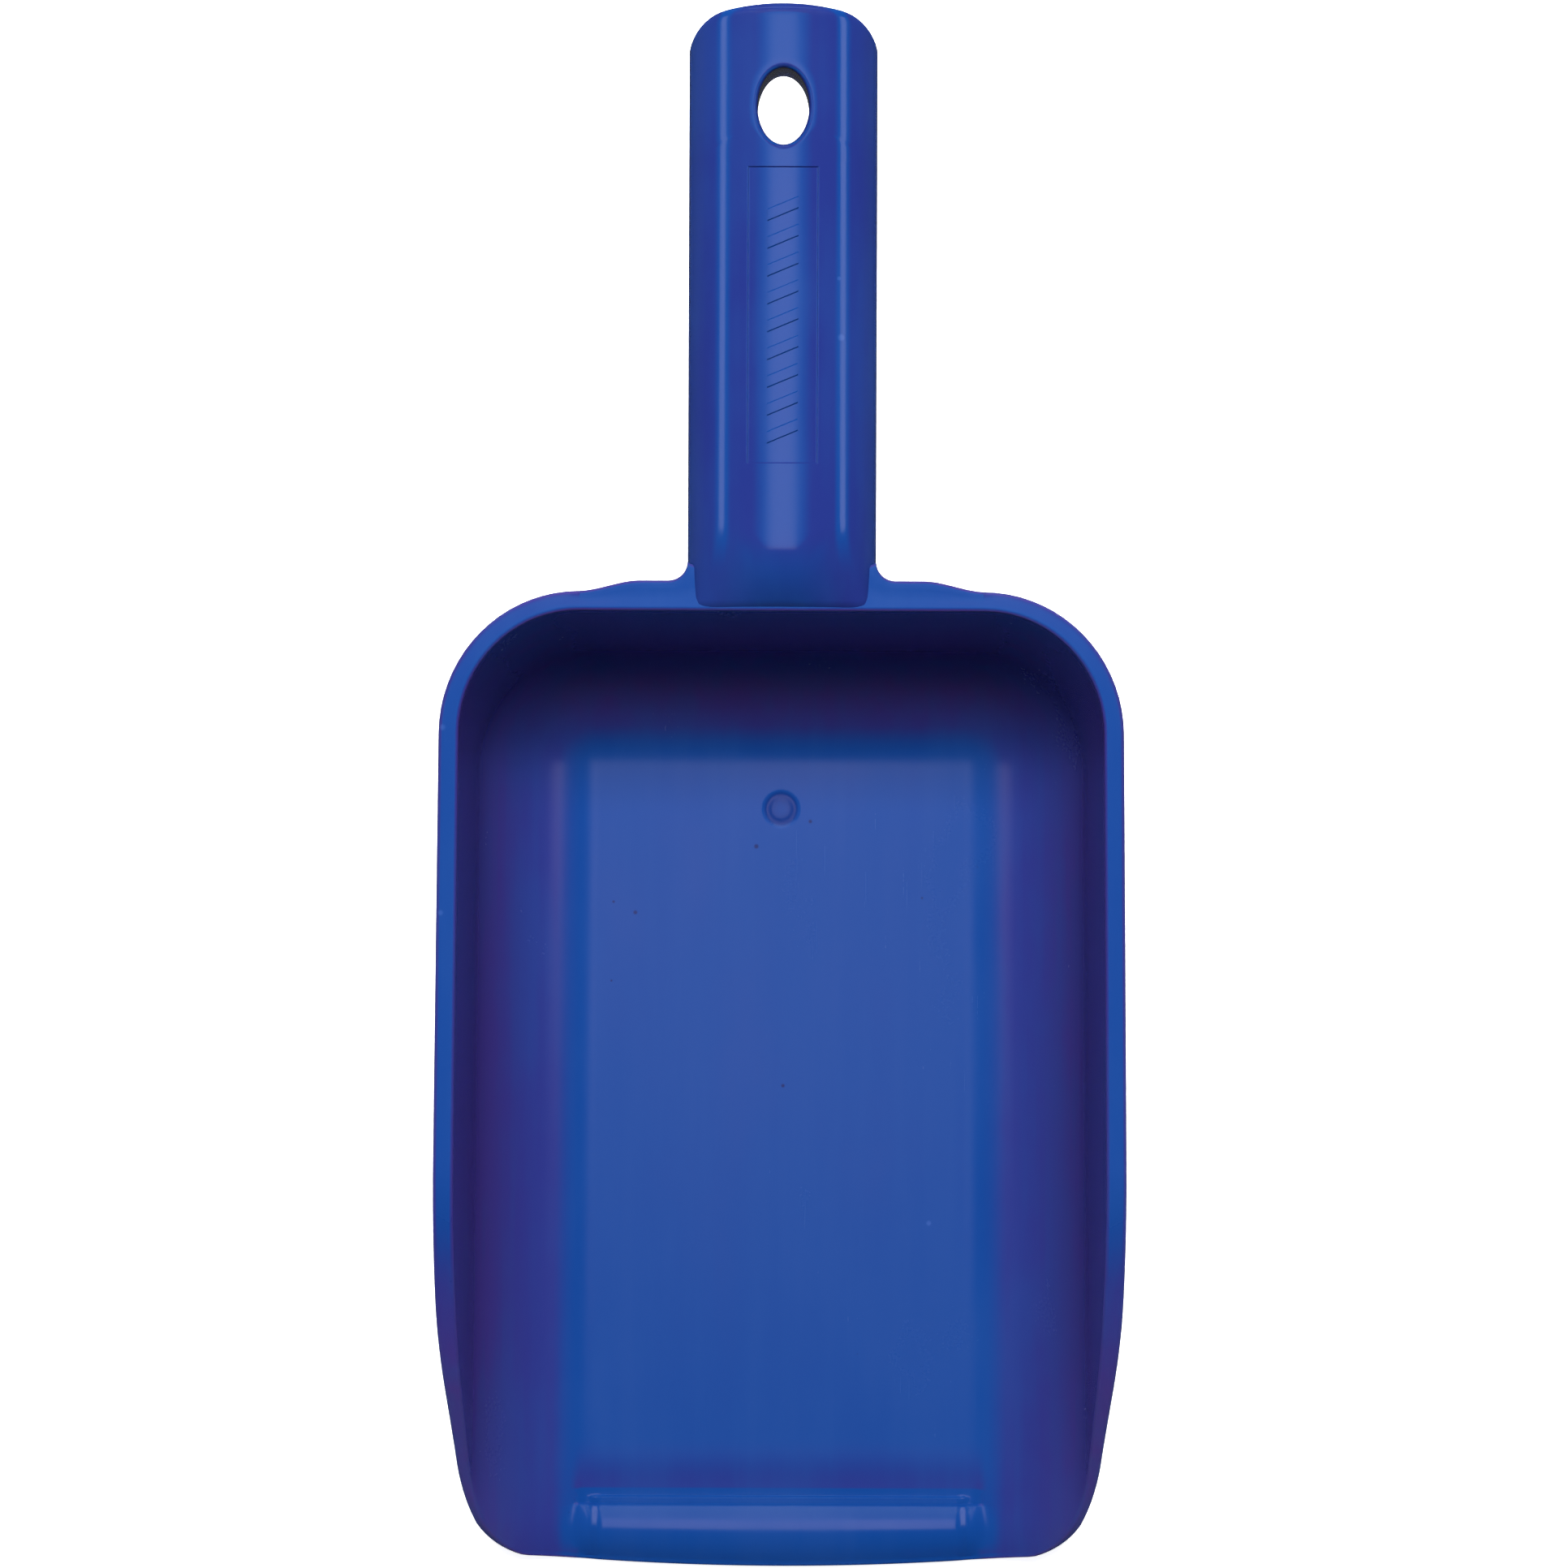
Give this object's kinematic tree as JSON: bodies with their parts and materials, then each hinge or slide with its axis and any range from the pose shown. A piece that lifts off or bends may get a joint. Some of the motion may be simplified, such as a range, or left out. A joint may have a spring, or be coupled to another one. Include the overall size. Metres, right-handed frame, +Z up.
{
  "type": "feed scoop",
  "caption": "One-piece moulded scoop with a deep open-fronted bowl, flat floor, raised lip and a short crowned handle with an oval hang hole.",
  "frame": {"origin": "under the middle of the overall length, on the plane that the flat floor rests on", "axes": "+X across to the right, +Y from the scooping lip to the handle, +Z up out of the bowl"},
  "size_m": [0.1442, 0.33, 0.063],
  "materials": {
    "moulded_plastic": "satin blue polypropylene, semi-gloss on the handle"
  },
  "bodies": {
    "root": {"bowl_floor": "moulded_plastic", "left_side_wall": "moulded_plastic", "right_side_wall": "moulded_plastic", "back_wall": "moulded_plastic", "left_rim": "moulded_plastic", "right_rim": "moulded_plastic", "scooping_lip": "moulded_plastic", "handle_shell": "moulded_plastic", "handle_end": "moulded_plastic", "hang_hole_boss": "moulded_plastic", "handle_ribs": "moulded_plastic", "marking_panel": "moulded_plastic"}
  },
  "joints": []
}
